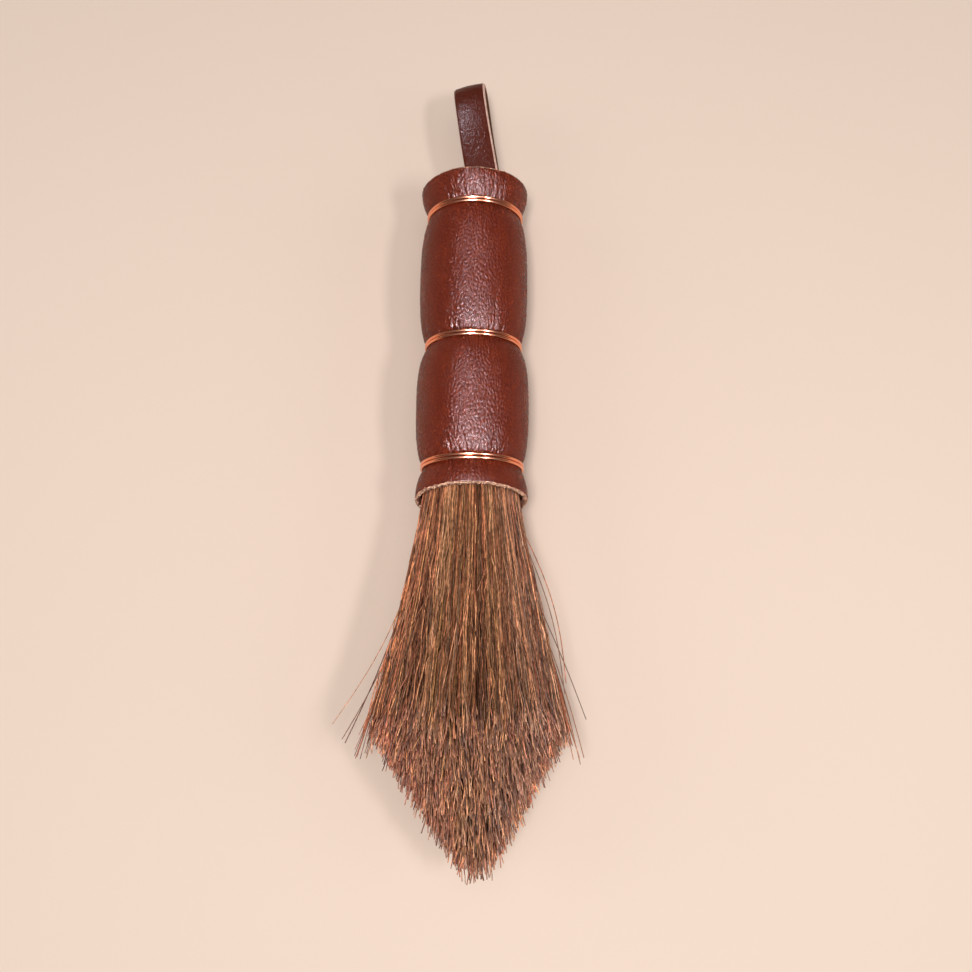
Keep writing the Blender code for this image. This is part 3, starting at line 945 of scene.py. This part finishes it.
def fibres():
    rng = np.random.default_rng(3)
    paths, ring, angle, clump = fibre_paths(rng)
    tints = fibre_tints(ring, angle, clump, rng)
    thick = FIBRE_WIDTH * np.clip(rng.normal(1.0, 0.16, FIBRES), 0.6, 1.45)
    phase = rng.uniform(0, tau, FIBRES)
    # How far under the head's surface each fibre lies, which sets its painted shade
    buried_shade = smooth((0.99 - ring) / 0.05)
    sector = ((-(angle + pi / 2) + pi / 6) % tau // (pi / 3)).astype(int) + 1
    sector[ring < CENTRE_SHARE] = 0
    for hank in range(7):
        name = "centre" if hank == 0 else str(hank)
        outer = (sector == hank) & (ring >= OUTER_RING)
        inner = (sector == hank) & (ring < OUTER_RING)
        own = [values[inner] for values in (thick, tints, buried_shade, phase)]
        tubes = [fibre_tubes(paths[inner][:, INNER_STEPS], *own, 4)]
        if outer.any():
            own = [values[outer] for values in (thick, tints, buried_shade, phase)]
            tubes.append(fibre_tubes(paths[outer], *own, 4))
        bundle = piece("fibres_" + name, fibre_mesh("fibres_" + name, *tubes), fibre)
        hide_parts("hank_butt_" + name, "hank_head_" + name)
        flexing(bundle)
    loose = strays(rng)
    count = len(loose)
    clump = rng.integers(0, CLUMPS, count)
    tints = STRAY_SHADE * fibre_tints(np.ones(count), np.full(count, pi), clump, rng)
    thick, phase = rng.uniform(*STRAY_WIDTH, count), rng.uniform(0, tau, count)
    tubes = fibre_tubes(loose, thick, tints, np.zeros(count), phase, 5)
    flexing(piece("stray_fibres", fibre_mesh("stray_fibres", tubes), fibre))


def flexing(obj):
    """Bakes the fibres' placing into their mesh. The two ends of a bend are worked out, but nothing uses
    them.
    """
    start, end = world(0, 0, BEND_BACK), world(0, 0, -BEND_REACH)
    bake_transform(obj)


# ---------------------------------------------------------------- stage, light and camera

LENS = 40.0
CAMERA_DISTANCE = 276.0
CAMERA_ANGLE = radians(76.3)
CAMERA_SIDE = 3.6
CAMERA_ALONG = 2.7
CAMERA_ROLL = radians(0.5)
LIT_POINT = Vector((0, 0, 0.015))
FLOOR_HALF = 3.0
FLOOR_GAP = 0.02 * MM
DAYLIGHT = (1.0, 0.97, 0.94)
ROOM_LIGHT = (1.0, 0.96, 0.92)
ROSE = (1.0, 0.84, 0.90)
LILAC = (0.92, 0.88, 1.0)
SKY_BLUE = (0.62, 0.78, 1.0)
PALE_BLUE = (0.66, 0.80, 1.0)
SKY_COLOUR = (1.0, 0.95, 0.92, 1)
SKY_STRENGTH = 0.13


def stage():
    corners = [(FLOOR_HALF * x, FLOOR_HALF * y, 0) for x, y in ((-1, -1), (1, -1), (1, 1), (-1, 1))]
    mesh = mesh_of("floor", corners, [np.array([[0, 1, 2, 3]])])
    floor = piece("floor", mesh, pale_floor("pale_floor"))
    floor.location.z = -FLOOR_GAP


def area_light(name, place, size, watts, colour, mirrored=True, only_gloss_of=None):
    """A soft box aimed at the brush, its width along X. Gloss doesn't show it unless it is mirrored."""
    lamp = bpy.data.lights.new(name, "AREA")
    lamp.shape = "RECTANGLE"
    lamp.size, lamp.size_y = size
    lamp.energy = watts
    lamp.color = colour
    obj = bpy.data.objects.new(name, lamp)
    away = (Vector(place) - LIT_POINT).normalized()
    side = Vector((0, 1, 0)).cross(away).normalized()
    turn = Matrix((side, away.cross(side), away)).transposed()
    obj.matrix_world = Matrix.Translation(place) @ turn.to_4x4()
    obj.visible_glossy = mirrored
    if only_gloss_of:
        lamp.cycles.max_bounces = 0
        obj.visible_diffuse = False
        obj.light_linking.receiver_collection = only_gloss_of
    bpy.context.scene.collection.objects.link(obj)


def pieces_named(prefix, group):
    """A collection of the pieces whose names start with a prefix, for lights that only they show."""
    found = bpy.data.collections.new(group)
    for obj in bpy.context.scene.objects:
        if obj.name.startswith(prefix) and obj.name not in frame["nodes"]:
            found.objects.link(obj)
    return found


def lights():
    """A window and a lamp overhead, a soft room, and strips that one material's gloss alone shows."""
    area_light("window", (-0.055, -0.13, 0.62), (0.10, 0.18), 1.9, DAYLIGHT)
    area_light("lamp", (0.30, -0.13, 0.56), (0.07, 0.14), 0.9, DAYLIGHT)
    leather = pieces_named("leather_", "glossy_leather")
    area_light("gleam", (-0.055, -0.15, 0.60), (0.055, 0.28), 10.0, ROSE, only_gloss_of=leather)
    area_light("long_gleam", (-0.055, 0.0, 0.60), (0.055, 0.90), 11.0, ROSE, only_gloss_of=leather)
    area_light("far_gleam", (0.30, -0.13, 0.54), (0.045, 0.50), 7.0, ROSE, only_gloss_of=leather)
    wires = pieces_named("binding_", "bright_wires")
    area_light("wire_gleam", (-0.055, -0.13, 0.60), (0.040, 0.50), 26.0, SKY_BLUE, only_gloss_of=wires)
    area_light("far_wire_gleam", (0.30, -0.13, 0.54), (0.022, 0.40), 6.4, PALE_BLUE, only_gloss_of=wires)
    strap = pieces_named("hanging_strap", "glossy_strap")
    area_light("strap_gleam", (-0.37, 0.43, 0.56), (0.10, 0.06), 4.5, LILAC, only_gloss_of=strap)
    area_light("ceiling", (-0.05, 0.0, 1.2), (0.9, 0.9), 3.0, ROOM_LIGHT, mirrored=False)
    area_light("fill_left", (-0.9, 0.1, 0.5), (0.6, 0.6), 1.4, ROOM_LIGHT, mirrored=False)
    area_light("fill_right", (0.9, -0.1, 0.5), (0.6, 0.6), 1.4, ROOM_LIGHT, mirrored=False)


def sky():
    world_light = bpy.data.worlds.new("studio")
    world_light.use_nodes = True
    background = world_light.node_tree.nodes["Background"]
    background.inputs["Color"].default_value = SKY_COLOUR
    background.inputs["Strength"].default_value = SKY_STRENGTH
    bpy.context.scene.world = world_light


def camera():
    data = bpy.data.cameras.new("camera")
    data.lens = LENS
    data.sensor_width = 36.0
    data.clip_start = 0.01
    obj = bpy.data.objects.new("camera", data)
    target = mouth + MM * (CAMERA_SIDE * across + CAMERA_ALONG * along)
    back = -cos(CAMERA_ANGLE) * along + sin(CAMERA_ANGLE) * upward
    top = along - back * along.dot(back)
    top.normalize()
    right = top.cross(back)
    turn = Matrix((right, top, back)).transposed() @ Matrix.Rotation(CAMERA_ROLL, 3, "Z")
    obj.matrix_world = Matrix.Translation(target + CAMERA_DISTANCE * MM * back) @ turn.to_4x4()
    bpy.context.scene.collection.objects.link(obj)
    bpy.context.scene.camera = obj


wrap_leather = grain_leather("wrap_leather", (0.168, 0.022, 0.008), (0.240, 0.035, 0.012))
strap_leather = grain_leather("strap_leather", (0.100, 0.017, 0.008), (0.145, 0.026, 0.013))
raw_edge = raw_leather("raw_edge", (0.45, 0.22, 0.13), (0.80, 0.48, 0.33))
strap_edge = raw_leather("strap_edge", (0.55, 0.32, 0.25), (0.88, 0.62, 0.53))
# The flesh side is painted far darker than its own light brown: painted shade for the dark gap inside the
# rim. The strap's flesh face and the end disc take it too.
flesh_side = raw_leather("flesh_side", (0.075, 0.034, 0.02), (0.14, 0.07, 0.042))
copper = copper_wire("copper")
steel = steel_wire("steel")
fibre = plant_fibre("fibre")

bpy.context.scene.view_settings.view_transform = "Standard"
camera()
stage()
leather_cover()
for number, (place, (seat, outside)) in enumerate(zip(("mouth", "middle", "top"), SEATS)):
    binding(place, seat, outside, 20 + number)
hanging_strap()
fibres()
for node, finish in (("end_disc", flesh_side), ("inner_tie_lower", steel), ("inner_tie_upper", steel)):
    for material_slot in frame["nodes"][node].material_slots:
        material_slot.material = finish
lights()
sky()
